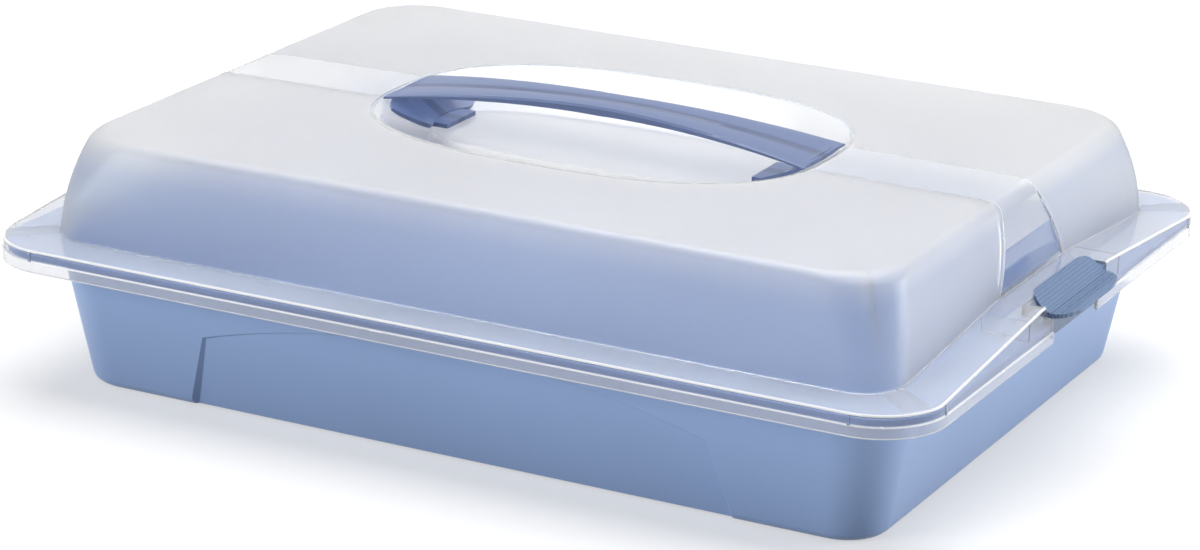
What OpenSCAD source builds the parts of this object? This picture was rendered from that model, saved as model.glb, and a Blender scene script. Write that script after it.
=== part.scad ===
// Rectangular cake carrier: a tray, a translucent domed lid that lifts off,
// a carrying handle snapped into the lid, and a latch at each short end.
// X runs along the long side, Z is up, the origin is at the middle of the base.

/* [Rim] */
// Length over the lid's rim
rim_l = 450; // [400:1:500]
// Width over the lid's rim
rim_w = 342; // [300:1:380]
// Corner radius of the rim, in plan
rim_r = 31; // [28:0.5:36]

/* [Fits] */
// Gap where one piece rests on another
fit_gap = 0.3; // [0.2:0.05:0.5]
// Radial clearance of a latch's bore on its pin
pin_gap = 0.06; // [0.04:0.01:0.1]

/* [Tray] */
// Thickness of the flange and its turned-down lip
flange_t = 1.8; // [1.4:0.1:2.2]
// How far the lip hangs below the flange's top face
lip_h = 3; // [2.4:0.1:4]
// Gap from the rim's outline in to the lip
lip_inset = 2.7; // [2.5:0.1:3.2]
// Inset of the tray's wall from the rim, at the base
tray_inset_base = 31.6; // [28:0.1:34]
// Inset of the tray's wall from the rim, at the flange
tray_inset_top = 19.4; // [18:0.1:21]
// Plan radius of the tray's corners at the base
tray_r_base = 18.6; // [15:0.1:22]
// Plan radius of the tray's corners at the flange
tray_r_top = 26; // [22:0.1:28]
// Thickness of the tray's walls and floor
tray_t = 2.4; // [2:0.1:3]
// Radius where the wall meets the floor
tray_edge_r = 4; // [2:0.1:5]
// Rise of the base between the two end feet
foot_h = 0.8; // [0.4:0.1:1.2]
// Half length of the raised base, and of the arched panels at their foot
arch_half = 132; // [120:1:140]
// Half length of the arched panels at the spring of the arch
arch_spring_half = 121.4; // [110:0.1:130]
// Height at which the arch springs
arch_spring_z = 34.8; // [28:0.1:40]
// Height of the crown of the arch
arch_crown_z = 53.4; // [46:0.1:58]
// Depth of the arched panels at the base
arch_depth = 2.8; // [1.5:0.1:3]
// Depth of the arched panels at the crown
crown_depth = 0.5; // [0.3:0.1:1]
// Width of their sloping edge for each mm of depth
edge_slope = 0.8; // [0.2:0.1:1]

/* [Lid] */
// Height of the lower edge of the skirt
skirt_z = 59.6; // [58:0.1:61]
// Height of the bead that runs round the skirt
bead_z = 64.6; // [63:0.1:66]
// Height of the ledge along the front and back
ledge_z = 69.8; // [69.6:0.1:71]
// Rise of the ledge up to the platform at each latch
ramp_h = 8.8; // [7:0.1:9]
// Half width of the level platform at each latch
platform_half = 40; // [38:0.5:46]
// Distance from the middle at which the ramps start
ramp_half = 146; // [120:1:150]
// Wall thickness of the lid
lid_t = 1.6; // [1.2:0.1:1.8]
// Width of the ledge
ledge_w = 21.6; // [20:0.1:23]
// Lean of the dome's wall from base to shoulder
dome_lean = 7.2; // [5:0.1:9]
// Height of the roof round its crease
roof_z = 115.4; // [110:0.1:120]
// Crown of the roof above its crease
crown_h = 0.6; // [0.2:0.1:1]
// Inset of the roof's crease from the rim
crease_inset = 46.6; // [42:0.1:50]
// Radius of the dome's shoulder
shoulder_r = 7; // [5:0.5:9]
// Half length of the recess at the roof
dish_a = 109; // [104:0.5:114]
// Half width of the recess at the roof
dish_b = 77.6; // [70:0.2:82]
// Half length of the floor of the recess
dish_floor_a = 86; // [84:0.5:88]
// Half width of the floor of the recess
dish_floor_b = 30; // [28:0.5:34]
// Depth of the recess
dish_depth = 12.4; // [9:0.1:14]
// Half width of the clear band at the roof
band_half_top = 19; // [16:0.5:22]
// Half width of the clear band at the foot of the end walls
band_half_base = 38; // [34:0.5:40]
// Depth of the clear windows in the end walls
window_depth = 0.5; // [0.3:0.1:0.7]

/* [Handle] */
// Rise of the handle's crown above the roof
handle_rise = 9.8; // [7:0.1:12]
// Half width of the grip at its middle
grip_half = 12; // [8:0.5:14]
// Half width of the grip at its ends
grip_half_end = 21.5; // [18:0.5:24]
// Depth of the grip at its middle
grip_depth = 4.4; // [3.6:0.1:5.5]
// Depth of the grip at its ends
grip_depth_end = 1.4; // [1.2:0.1:1.6]

/* [Latches] */
// Half length of a latch's wing
wing_half = 33; // [30:0.5:34]
// Half length of a latch's body
body_half = 24.4; // [20:0.1:24.6]
// Inset of the pivot from the rim
pivot_inset = 6; // [5:0.1:7]
// Height of the pivot
pivot_z = 64.5; // [64:0.1:65]
// Radius of the pivot pin
pin_r = 1.6; // [1.2:0.1:1.8]

/* [Hidden] */
$fn = 48;

hx = rim_l / 2;
hy = rim_w / 2;
eps = 0.01;
arc_steps = 12;                  // steps in each corner of a lofted ring
arch_steps = 24;                 // steps in half of an arch
dish_n = 2.6;                    // exponent of the recess's outline at the roof
floor_n = 3;                     // exponent of its floor's outline
over = 1;                        // how far a cut runs past what it cuts
pivot_x = hx - pivot_inset;
roof_top = roof_z + crown_h;
handle_z = roof_top + handle_rise;
floor_z = roof_top - dish_depth;
platform_z = ledge_z + ramp_h;
flange_z = ledge_z - lid_t - fit_gap;

BLUE = [0.45, 0.56, 0.76];
DEEP_BLUE = [0.36, 0.46, 0.72];
CLEAR = [0.88, 0.91, 0.95, 0.6];

function mix(a, b, u) = a + (b - a) * u;
function clamp01(u) = max(0, min(1, u));

// Share of the ramp's rise at distance y from the middle
function ramp(y) = clamp01((ramp_half - abs(y)) / (ramp_half - platform_half));

// A rounded rectangle, inset from the rim, at height z. Its short ends
// climb by lift towards the middle.
function rect_ring(inset, r, z, lift = 0) =
    let (cx = hx - inset - r, cy = hy - inset - r)
    [for (q = [0:3])
        let (sx = (q == 0 || q == 1) ? 1 : -1, sy = (q == 1 || q == 2) ? 1 : -1)
        each concat(
            [for (i = [0:arc_steps])
                let (a = 90 * (q - 1) + 90 * i / arc_steps,
                     x = sx * cx + r * cos(a), y = sy * cy + r * sin(a))
                [x, y, z + lift * ramp(y)]],
            q == 0 || q == 2
                ? [for (side = [-1, 1])
                    [sx * (hx - inset), sx * side * platform_half, z + lift]]
                : [])];

// Half length in X of a superellipse at distance y from its long axis
function oval_x(a, b, n, y) = a * pow(1 - pow(min(1, abs(y) / b), n), 1 / n);

// A superellipse with as many points as a rounded rectangle
function oval_ring(a, b, n, z) =
    [for (q = [0:3]) each concat(
        [for (i = [0:arc_steps])
            oval_point(a, b, n, z, 90 * (q - 1) + 6 + 72 * i / arc_steps + (q % 2 == 0 ? 0 : 6))],
        q % 2 == 0 ? [for (d = [-4, 4]) oval_point(a, b, n, z, 90 * q + d)] : [])];

function oval_point(a, b, n, z, angle) =
    [a * sign(cos(angle)) * pow(abs(cos(angle)), 2 / n),
     b * sign(sin(angle)) * pow(abs(sin(angle)), 2 / n), z];

// A closed solid through a list of rings, with a flat face on the first and last
module loft(rings) {
    m = len(rings[0]);
    last = len(rings) - 1;
    polyhedron(
        points = [for (ring = rings) each ring],
        faces = concat(
            [[for (i = [0:m - 1]) i]],
            [for (k = [0:last - 1]) for (i = [0:m - 1]) for (half = [0, 1])
                let (a = k * m + i, b = k * m + (i + 1) % m)
                half == 0 ? [a, a + m, b] : [b, a + m, b + m]],
            [[for (i = [m - 1:-1:0]) last * m + i]]),
        convexity = 6);
}

/* ---- Tray ---- */

function tray_u(z) = z / (flange_z - flange_t);
function tray_inset(z) = mix(tray_inset_base, tray_inset_top, tray_u(z));
function tray_r(z) = mix(tray_r_base, tray_r_top, tray_u(z));

// One ring of the rounded edge between wall and floor, at angle a up the edge
function tray_edge(a, inset, base, r) =
    let (z = base + r * (1 - cos(a)), cut = r * (1 - sin(a)))
    rect_ring(tray_inset(z) + inset + cut, tray_r(z) - inset - cut + 1.5, z);

function tray_outside() = concat(
    [for (a = [0:30:90]) tray_edge(a, 0, 0, tray_edge_r)],
    [for (z = [20, 40, flange_z - flange_t - 1.5])
        rect_ring(tray_inset(z), tray_r(z) + 1.5, z)],
    [rect_ring(tray_inset_top - 1.5, tray_r_top + 2, flange_z - flange_t),
     rect_ring(lip_inset + flange_t, rim_r - lip_inset - flange_t, flange_z - flange_t),
     rect_ring(lip_inset + flange_t, rim_r - lip_inset - flange_t, flange_z - lip_h),
     rect_ring(lip_inset, rim_r - lip_inset, flange_z - lip_h),
     rect_ring(lip_inset, rim_r - lip_inset, flange_z - 0.7),
     rect_ring(lip_inset + 0.7, rim_r - lip_inset - 0.7, flange_z)]);

function tray_inside() = concat(
    [for (a = [0:30:90]) tray_edge(a, tray_t, tray_t + foot_h, tray_edge_r)],
    [for (z = [20, 40, flange_z - 1.5])
        rect_ring(tray_inset(z) + tray_t, tray_r(z) - tray_t + 1.5, z)],
    [rect_ring(tray_inset_top + tray_t - 0.8, tray_r_top - tray_t + 2, flange_z + eps)]);

// The plane of the front arched panel leans less than the wall, so that the
// panel is deepest at the base
function panel_y(z) = mix(tray_inset_base + arch_depth, tray_inset(arch_crown_z) + crown_depth,
    z / arch_crown_z) - hy;

// Outline of the front arched panel, in a plane that lies out from its own
function arch_ring(out, grow) =
    let (rise = arch_crown_z - arch_spring_z,
         arch_r = (pow(arch_spring_half, 2) + pow(rise, 2)) / (2 * rise),
         sweep = asin((arch_spring_half + grow) / (arch_r + grow)))
    [for (p = concat(
        [[arch_half + grow, -5]],
        [for (i = [arch_steps:-1:-arch_steps]) let (a = sweep * i / arch_steps)
            [(arch_r + grow) * sin(a), arch_crown_z - arch_r + (arch_r + grow) * cos(a)]],
        [[-arch_half - grow, -5]]))
        [p[0], panel_y(p[1]) - out, p[1]]];

// The space in front of an arched panel, or of its inner face at depth t
module arch_wedge(t = 0) {
    reach = 12;
    loft([arch_ring(-t, t), arch_ring(reach, t + edge_slope * (reach + t))]);
}

module both_sides() {
    children();
    mirror([0, 1, 0]) children();
}

module both_ends() {
    children();
    mirror([1, 0, 0]) children();
}

hinge_gap = body_half + 1.6;     // half width of the cut-out for a latch
lug_l = 5;
cutout_x = pivot_x - 4.5;        // inner edge of the cut-out

// The lugs under the flange that carry a latch's pin
module lugs() {
    lug_x = hx - lip_inset;
    both_sides() translate([cutout_x, hinge_gap, pivot_z - 3])
        cube([lug_x - cutout_x, lug_l, flange_z - pivot_z + 3 - 0.4]);
    translate([pivot_x, 0, pivot_z]) rotate([90, 0, 0])
        cylinder(h = 2 * hinge_gap + 2, r = pin_r, center = true);
}

module tray() color(BLUE) {
    difference() {
        loft(tray_outside());
        difference() {
            loft(tray_inside());
            both_sides() arch_wedge(tray_t);
        }
        both_sides() arch_wedge();
        translate([-arch_half, -hy, -over]) cube([2 * arch_half, rim_w, over + foot_h]);
        both_ends() translate([cutout_x, -hinge_gap, flange_z - lip_h - over])
            cube([hx - cutout_x, 2 * hinge_gap, lip_h + 2 * over]);
    }
    both_ends() lugs();
}

/* ---- Lid ---- */

shoulder_z = roof_z - 0.5;       // height of the top of the shoulder
wall_lean = 21;                  // lean of the dome's wall at the shoulder
wall_top_z = shoulder_z - shoulder_r + shoulder_r * sin(wall_lean);
band_inset = 0.6;                // set-back of the skirt above its bead
step_h = 0.4;                    // height of the step up to the bead
crease_r = 16;                   // radius of the crease at its corners
edge_r = 0.9;                    // rounding of the ledge's outer edge

// Inset of the dome's wall at share u of its height: upright at the base
function dome_inset(u) = ledge_w + dome_lean * u * u;
function dome_r(u) = mix(20, 27, u);

// Rings of the dome's wall and shoulder, moved inward by t
function dome_rings(t, lift, base_z) = concat(
    [for (u = [0, 0.06, 0.25, 0.5, 0.75, 1])
        rect_ring(dome_inset(u) + t, dome_r(u) - t, mix(base_z, wall_top_z - t * 0.2, u), lift * (1 - u))],
    [for (a = [40, 60, 85])
        rect_ring(dome_inset(1) + t + (shoulder_r - t) * (cos(wall_lean) - cos(a)), dome_r(1) - t + 1,
            wall_top_z - t * 0.2 + (shoulder_r - t) * (sin(a) - sin(wall_lean)))]);

function reversed(list) = [for (i = [len(list) - 1:-1:0]) list[i]];

// Rings of the recess from its floor to the roof, dropped by t
function dish_rings(t) = [for (u = [0, 0.04, 0.2, 0.4, 0.6, 0.8, 0.94, 1])
    let (ease = u < 0.06 ? 0 : (u > 0.96 ? 1 : (u - 0.04) / 0.9))
    oval_ring(mix(dish_floor_a, dish_a, u) + t * 0.6, mix(dish_floor_b, dish_b, u) + t * 0.6,
        mix(floor_n, dish_n, u), mix(floor_z, roof_top, ease) - t)];

function skirt_rings() = [
    rect_ring(band_inset + edge_r, rim_r - band_inset - edge_r, ledge_z, ramp_h),
    rect_ring(band_inset + 0.3 * edge_r, rim_r - band_inset, ledge_z - 0.3 * edge_r, ramp_h),
    rect_ring(band_inset, rim_r - band_inset, ledge_z - edge_r, ramp_h),
    rect_ring(band_inset, rim_r - band_inset, bead_z + step_h),
    rect_ring(0, rim_r, bead_z),
    rect_ring(0, rim_r, skirt_z + 0.6),
    rect_ring(0.5, rim_r - 0.5, skirt_z),
    rect_ring(lid_t - 0.4, rim_r - lid_t, skirt_z),
    rect_ring(lid_t, rim_r - lid_t, skirt_z + 0.6),
    rect_ring(lid_t, rim_r - lid_t, bead_z - 0.2),
    rect_ring(lid_t + band_inset, rim_r - lid_t - band_inset, bead_z + 0.4),
    rect_ring(lid_t + band_inset, rim_r - lid_t - band_inset, ledge_z - lid_t, ramp_h)];

// From the underside of the recess out to the skirt, and back over the top
module lid_shell() {
    loft(concat(
        dish_rings(lid_t),
        [rect_ring(crease_inset, crease_r, roof_z - lid_t)],
        reversed(dome_rings(lid_t, ramp_h, ledge_z - lid_t)),
        reversed(skirt_rings()),
        dome_rings(0, ramp_h, ledge_z),
        [rect_ring(crease_inset, crease_r, roof_z)],
        reversed(dish_rings(0))));
}

wide_notch_half = wing_half + 2;
narrow_notch_half = body_half + 1.1;
wide_notch_x = pivot_x - 2;
notch_step_z = platform_z - 6.1;

// The stepped notch in the platform and skirt for a latch
module latch_notch() {
    cut_l = hx - wide_notch_x + over;
    translate([wide_notch_x, -wide_notch_half, notch_step_z])
        cube([cut_l, 2 * wide_notch_half, platform_z - notch_step_z + over]);
    translate([wide_notch_x, -narrow_notch_half, skirt_z - over])
        cube([cut_l, 2 * narrow_notch_half, notch_step_z - skirt_z + 2 * over]);
}

rib_t = 1.4;                     // thickness of the ribs and webs inside the lid
rib_y = 51;                      // distance of the outer ribs from the middle

// Cheeks of the notch, and ribs, that stiffen the platform from below
module platform_ribs() {
    rib_z = flange_z + fit_gap + 0.2;
    rib_x = hx - ledge_w - 1;
    rib_top = ledge_z + ramp_h * ramp(rib_y + rib_t) - lid_t / 2;
    cheek_h = platform_z - notch_step_z - lid_t / 2;
    both_sides() {
        translate([wide_notch_x - 3, wide_notch_half, notch_step_z])
            cube([hx - wide_notch_x + 1.6, rib_t, cheek_h]);
        translate([rib_x, rib_y, rib_z]) cube([hx - lid_t - rib_x - 0.2, rib_t, rib_top - rib_z]);
    }
    translate([wide_notch_x - 3, -wide_notch_half, notch_step_z])
        cube([rib_t, 2 * wide_notch_half, cheek_h]);
}

// A triangular web inside each corner of the dome, from the roof down
module corner_web() {
    web_w = 12;
    web_h = 25;
    bite = lid_t - 0.4;          // how far the web reaches into the roof and the shoulder
    web_top = roof_z - bite;
    u_low = 1 - web_h / (wall_top_z - ledge_z);
    // distance along the diagonal to the middle of the wall
    wall_d = [for (u = [u_low, (1 + u_low) / 2, 1])
        dome_r(u) - lid_t / 2 + sqrt(2) * (dome_inset(1) + dome_r(1) - dome_inset(u) - dome_r(u))];
    z = [for (u = [u_low, (1 + u_low) / 2, 1]) mix(ledge_z, wall_top_z, u)];
    cx = hx - dome_inset(1) - dome_r(1);
    cy = hy - dome_inset(1) - dome_r(1);
    translate([cx, cy, 0]) rotate([0, 0, 45]) rotate([90, 0, 0])
        linear_extrude(rib_t, center = true)
            polygon([[wall_d[0], z[0]], [wall_d[1], z[1]], [wall_d[2], z[2]],
                [wall_d[2] - shoulder_r + 2, web_top - bite],
                [wall_d[2] - shoulder_r - 1.5, web_top],
                [wall_d[2] - shoulder_r - 1.5 - web_w, web_top]]);
}

// The window in an end wall, widening from the roof's band to the platform
module window_cut() {
    depth = window_depth + 4;
    loft([for (end = [[platform_z + 2, band_half_base - 3], [wall_top_z - 6, band_half_top + 4],
                      [wall_top_z + 2, band_half_top]])
        let (u = clamp01((end[0] - platform_z) / (wall_top_z - platform_z)),
             x = hx - dome_inset(u) - window_depth)
        [[x, -end[1], end[0]], [x + depth, -end[1], end[0]],
         [x + depth, end[1], end[0]], [x, end[1], end[0]]]]);
}

prong_x = 79.4;                  // inner face of the handle's prongs
prong_t = 2.2;
prong_y = [5, 11];
slot_gap = 0.35;

module prong_slots() {
    both_ends() both_sides()
        translate([prong_x - slot_gap - 0.9, prong_y[0] - slot_gap, floor_z - 4])
            cube([prong_t + 2 * slot_gap + 0.9, prong_y[1] - prong_y[0] + 2 * slot_gap, 8]);
}

// Short upright ticks on the band of the skirt, where each corner starts
module skirt_ticks() {
    tick_w = 1.2;
    root = 0.6;                  // how far a tick reaches into the skirt
    tick_out = root + band_inset - 0.1;
    tick_h = ledge_z - bead_z - 0.6;
    both_sides() both_ends() {
        translate([hx - rim_r + 1, hy - band_inset - root, bead_z]) cube([tick_w, tick_out, tick_h]);
        translate([hx - band_inset - root, hy - rim_r, bead_z]) cube([tick_out, tick_w, tick_h]);
    }
}

module lid() color(CLEAR) {
    difference() {
        union() {
            lid_shell();
            both_ends() platform_ribs();
            both_ends() both_sides() corner_web();
            skirt_ticks();
        }
        both_ends() latch_notch();
        both_ends() window_cut();
        prong_slots();
    }
}

/* ---- Handle ---- */

grip_steps = 18;                 // steps in half of the grip
tongue_steps = 12;               // steps in half of a tongue's width
grip_end_z = roof_top + 1.1;     // height of the top of the grip at its ends
grip_x = dish_a - 4;             // half length of the grip
tongue_half = 28;
tongue_core = 19;                // half width of the thick part of the tongue
foot_x = prong_x - 3;            // inner edge of a foot
foot_half = 13;
foot_t = 2;

// Height, half width and depth of the grip at share v (-1 to 1) of its length
function grip_top(v) = mix(handle_z, grip_end_z, v * v);
function grip_w(v) = mix(grip_half, grip_half_end, pow(abs(v), 1.4));
function grip_d(v) = mix(grip_depth, grip_depth_end, abs(v));

// Across the grip: two facets with a groove between them. The crest of a
// facet and the edge of the groove are given as shares of the half width.
function grip_section(v) =
    let (w = grip_w(v), d = grip_d(v), f = min(1, d / 3), crest = 0.62 * w, edge = 0.14 * w,
         hollow = mix(0.8, 0.2, abs(v)),
         right = [[edge, -0.25], [crest, 0], [w - 0.9, -0.35], [w, -1.3 * f], [w, -d],
             [w - 1.6, -d], [w - 2.2, -d + hollow]])
    [for (p = concat([[0, -1 * f]], right, reversed([for (q = right) [-q[0], q[1]]])))
        [v * grip_x, p[0], grip_top(v) + p[1]]];

module grip() {
    loft([for (i = [-grip_steps:grip_steps]) reversed(grip_section(i / grip_steps))]);
}

// Outline of the slope of the recess at share u of its height, less a margin
function slope_x(u, y, margin) = oval_x(mix(dish_floor_a, dish_a, u) - margin,
    mix(dish_floor_b, dish_b, u) - margin, mix(floor_n, dish_n, u), y);

// Lowest and highest share of the slope that the tongue covers at distance y
function tongue_side(y) = clamp01((abs(y) - 0.5 * tongue_half) / (0.5 * tongue_half));
function tongue_low(y) = 0.06 + 0.5 * pow(tongue_side(y), 2.4);
function tongue_high(y) = 0.84 - 0.14 * pow(tongue_side(y), 1.5);

// Thickness of the tongue: thin at its sides, thick where it meets the grip
function tongue_up(u, y) = mix(mix(2, 1.2, u), 2 + 2.4 * clamp01(1 - abs(u - 0.7) / 0.2),
    clamp01((tongue_core - abs(y)) / 5));

// Across the tongue at distance y: its underside up the slope, its top down
function tongue_section(y) =
    let (us = [for (k = [0:5]) mix(tongue_low(y), tongue_high(y), k / 5)])
    concat([for (u = us) tongue_point(u, y, 0)],
        reversed([for (u = us) tongue_point(u, y, tongue_up(u, y))]));

function tongue_point(u, y, up) =
    [slope_x(u, y, 2 * fit_gap + up / 2), y, mix(floor_z, roof_top, (u - 0.04) / 0.9) + fit_gap + up];

// The tongue lies like a saddle on the end slope of the recess
module tongue() {
    loft([for (k = [tongue_steps:-1:-tongue_steps]) tongue_section(tongue_half * k / tongue_steps)]);
}

// The foot stands on the floor of the recess, with two barbed prongs
module foot() {
    below = floor_z - lid_t - 0.3;
    translate([0, 0, floor_z + fit_gap]) linear_extrude(foot_t)
        polygon(concat([[foot_x, foot_half], [foot_x, -foot_half]],
            [for (k = [-6:6]) let (y = foot_half * k / 6)
                [slope_x(0.06, y, 3 * fit_gap), y]]));
    both_sides() translate([0, prong_y[1], 0]) rotate([90, 0, 0])
        linear_extrude(prong_y[1] - prong_y[0])
            polygon([[prong_x, floor_z + 1.5], [prong_x, below], [prong_x - 0.8, below - 0.2],
                [prong_x + 0.4, below - 3.1], [prong_x + prong_t, below - 3.1],
                [prong_x + prong_t, floor_z + 1.5]]);
}

module handle() color(DEEP_BLUE) {
    grip();
    both_ends() {
        tongue();
        foot();
    }
}

/* ---- Latches ---- */

wing_in = 6.2;                   // reach of the wing inward from the pivot
wing_out = 16;                   // reach of the wing outward from the pivot
wing_h = platform_z + fit_gap - pivot_z;    // height of the hook's underside above the pivot
hook_h = 2.9;                    // height of the hook above its underside
groove_r = 0.45;
barrel_r = pin_r + 1.6;
body_front = 4.4;                // outer face of the body, from the pivot
body_t = 2.4;

// Section of the wing, as offsets from the pivot in X and from the hook's
// underside in Z: hook, crest, valley and finger lip
module wing_section() {
    top = [[-wing_in + 0.4, 0], [-wing_in, 0.9], [-wing_in + 0.5, 2.1], [-wing_in + 1.8, hook_h],
        [-wing_in + 3.4, hook_h - 0.1], [-wing_in + 5, 2], [2.5, -1.1], [4.6, -2.6], [6.4, -3.3],
        [9, -3.5], [12.5, -3.4], [wing_out - 0.6, -3.9], [wing_out, -4.6]];
    under = [[wing_out - 0.5, -5.3], [12, -5.3], [8, -5.5], [5.6, -5.5], [3.6, -5], [2, -3.6],
        [-1.2, -0.5], [-1.7, 0]];
    polygon([for (p = concat(top, under)) [p[0], wing_h + p[1]]]);
}

// Outline of the wing in plan
module wing_outline() {
    half = (wing_out + wing_in) / 2;
    steps = 72;
    translate([wing_out - half, 0]) polygon([for (i = [0:steps - 1])
        let (p = oval_point(wing_half, half + 0.2, 3, 0, 360 * i / steps)) [p[1], -p[0]]]);
}

// Grooves along the valley and the finger lip
module wing_grooves() {
    for (g = [[5.3, 2.7], [7, 3.25], [8.8, 3.4], [10.6, 3.35], [12.4, 3.3]])
        translate([g[0], 0, wing_h - g[1]]) rotate([90, 0, 0])
            cylinder(h = 2 * (wing_half + over), r = groove_r, center = true, $fn = 16);
}

// The body hangs from the wing to the barrel that turns on the tray's pin
module latch_body() {
    rotate([90, 0, 0]) linear_extrude(2 * body_half, center = true) difference() {
        union() {
            circle(r = barrel_r);
            polygon([[0, -barrel_r], [body_front - 1, -barrel_r], [body_front, 1 - barrel_r],
                [body_front, wing_h - 5], [body_front - body_t, wing_h - 3.6],
                [body_front - body_t, barrel_r + 1.4], [barrel_r / 2, 0.9 * barrel_r]]);
        }
        circle(r = pin_r + pin_gap);
    }
}

module latch() translate([pivot_x, 0, pivot_z]) {
    difference() {
        intersection() {
            rotate([90, 0, 0]) linear_extrude(2 * (wing_half + over), center = true) wing_section();
            linear_extrude(wing_h + hook_h + over) wing_outline();
        }
        wing_grooves();
    }
    latch_body();
}

module latch_right() color(BLUE) latch();
module latch_left() color(BLUE) mirror([1, 0, 0]) latch();

tray();
lid();
handle();
latch_left();
latch_right();
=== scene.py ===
"""Rectangular cake carrier: blue tray, frosted domed lid, carrying handle and two end latches."""

import math

import bmesh
import bpy
from bpy.props import FloatProperty, FloatVectorProperty, PointerProperty
from mathutils import Matrix, Vector


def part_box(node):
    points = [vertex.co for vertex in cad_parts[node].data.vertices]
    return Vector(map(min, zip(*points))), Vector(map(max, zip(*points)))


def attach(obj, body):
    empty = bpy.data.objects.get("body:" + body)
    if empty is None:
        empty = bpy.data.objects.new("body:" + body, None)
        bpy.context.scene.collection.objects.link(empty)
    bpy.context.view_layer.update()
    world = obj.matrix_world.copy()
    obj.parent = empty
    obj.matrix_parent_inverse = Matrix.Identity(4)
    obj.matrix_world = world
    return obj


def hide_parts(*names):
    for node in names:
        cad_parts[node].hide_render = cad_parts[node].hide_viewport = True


bl_info = {
    "name": "Cake Carrier",
    "version": (1, 0, 0),
    "blender": (4, 5, 0),
    "location": "View3D > Sidebar > Carrier",
    "description": "Builds a cake carrier with a frosted lid, a carrying handle and end latches",
    "category": "Add Mesh",
}

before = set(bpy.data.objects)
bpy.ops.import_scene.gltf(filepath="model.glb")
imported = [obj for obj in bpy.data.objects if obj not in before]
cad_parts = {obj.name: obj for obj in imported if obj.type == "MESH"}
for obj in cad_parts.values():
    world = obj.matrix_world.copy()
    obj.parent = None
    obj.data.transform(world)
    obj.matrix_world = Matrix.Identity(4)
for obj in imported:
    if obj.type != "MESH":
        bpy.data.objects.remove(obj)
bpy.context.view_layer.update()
RIM_HALF_X, RIM_HALF_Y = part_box("lid")[1].x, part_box("lid")[1].y
SKIRT_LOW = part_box("lid")[0].z
ROOF_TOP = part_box("lid")[1].z


# ---- Sizes and colours ----------------------------------------------------------------


def length(name, text, value):
    return FloatProperty(name=name, description=text, default=value, unit="LENGTH", precision=5)


def colour(name, text, value):
    return FloatVectorProperty(
        name=name, description=text, default=value, subtype="COLOR", size=3, min=0, max=1
    )


class CarrierSizes(bpy.types.PropertyGroup):
    """Sizes of the lid and of the small roundings, in metres"""

    rim_radius: length("Rim radius", "Corner radius of the rim, in plan", 0.031)
    bead: length("Bead", "Height of the bead round the skirt", 0.0646)
    ledge: length("Ledge", "Height of the ledge along the front and back", 0.0698)
    ramp_rise: length("Ramp rise", "Rise of the ledge up to the platform at each latch", 0.0088)
    platform_half: length("Platform", "Half width of the level platform at a latch", 0.040)
    ramp_half: length("Ramp start", "Distance from the middle at which the ramps start", 0.146)
    wall: length("Wall", "Thickness of the lid", 0.0016)
    band_inset: length("Band inset", "Set-back of the skirt above its bead", 0.0006)
    edge_radius: length("Edge radius", "Rounding of the ledge's outer edge", 0.0009)
    ledge_width: length("Ledge width", "Width of the ledge", 0.0216)
    dome_lean: length("Dome lean", "Lean of the dome's wall from base to shoulder", 0.0072)
    dome_foot_radius: length("Dome foot radius", "Plan radius of the dome's corners at its foot", 0.020)
    dome_top_radius: length("Dome top radius", "Plan radius of its corners at the shoulder", 0.027)
    shoulder_radius: length("Shoulder radius", "Radius of the dome's shoulder", 0.007)
    crown: length("Crown", "Rise of the roof above its crease", 0.0006)
    crease_inset: length("Crease inset", "Inset of the roof's crease from the rim", 0.0466)
    crease_radius: length("Crease radius", "Radius of the crease at its corners", 0.016)
    recess_half_x: length("Recess length", "Half length of the recess at the roof", 0.109)
    recess_half_y: length("Recess width", "Half width of the recess at the roof", 0.0776)
    floor_half_x: length("Floor length", "Half length of the recess's floor", 0.086)
    floor_half_y: length("Floor width", "Half width of the recess's floor", 0.030)
    recess_depth: length("Recess depth", "Depth of the recess", 0.0124)
    band_half_top: length("Band top", "Half width of the clear band at the roof", 0.019)
    band_half_foot: length("Band foot", "Half width of the clear band at the platform", 0.038)
    window_depth: length("Window depth", "Depth of the clear windows in the end walls", 0.0005)
    window_change: length("Window change", "Height up to which the windows are quite clear", 0.0965)
    bead_radius: length("Window bead", "Radius of the beads beside the windows", 0.0006)
    web: length("Web", "Thickness of the ribs and webs inside the lid", 0.0014)


class CarrierColours(bpy.types.PropertyGroup):
    """Colours of the plastics and of the floor"""

    tray_blue: colour("Tray", "Blue of the tray", (0.28, 0.40, 0.655))
    handle_blue: colour("Handle", "Deep blue of the handle", (0.09, 0.132, 0.268))
    latch_blue: colour("Latches", "Blue of the latches", (0.10, 0.17, 0.31))
    frost: colour("Frosted roof", "Colour of the frosted roof", (0.935, 0.92, 0.90))
    # Painted shade: the dome's walls are the next colour, darker and bluer, at their foot and blend up
    # to the roof's colour.
    wall_foot_painted_shade: colour("Frosted walls", "Colour of the dome's walls at their foot", (0.60, 0.66, 0.77))
    clear: colour("Clear plastic", "Colour of the windows and the inside", (0.93, 0.95, 0.98))
    polished: colour("Polished plastic", "Colour of the band and the recess", (0.92, 0.915, 0.90))
    milky: colour("Milky plastic", "Colour of the ledge", (0.92, 0.91, 0.90))
    # Painted shade: the next colour darkens the skirt's upright clear strip to a grey-blue.
    skirt_painted_shade: colour("Skirt", "Colour of the skirt's clear strip", (0.67, 0.70, 0.78))
    # Painted highlight: the next colour, with little transmission, makes the edges and beads of the
    # clear plastic shine.
    edges: colour("Edges", "Colour of the bright edges of the clear plastic", (0.97, 0.98, 1.0))
    floor: colour("Floor", "Colour of the floor", (0.52, 0.52, 0.52))


def sizes():
    return bpy.context.scene.carrier_sizes


def colours():
    return bpy.context.scene.carrier_colours


# ---- Modelling helpers ----------------------------------------------------------------

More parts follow.
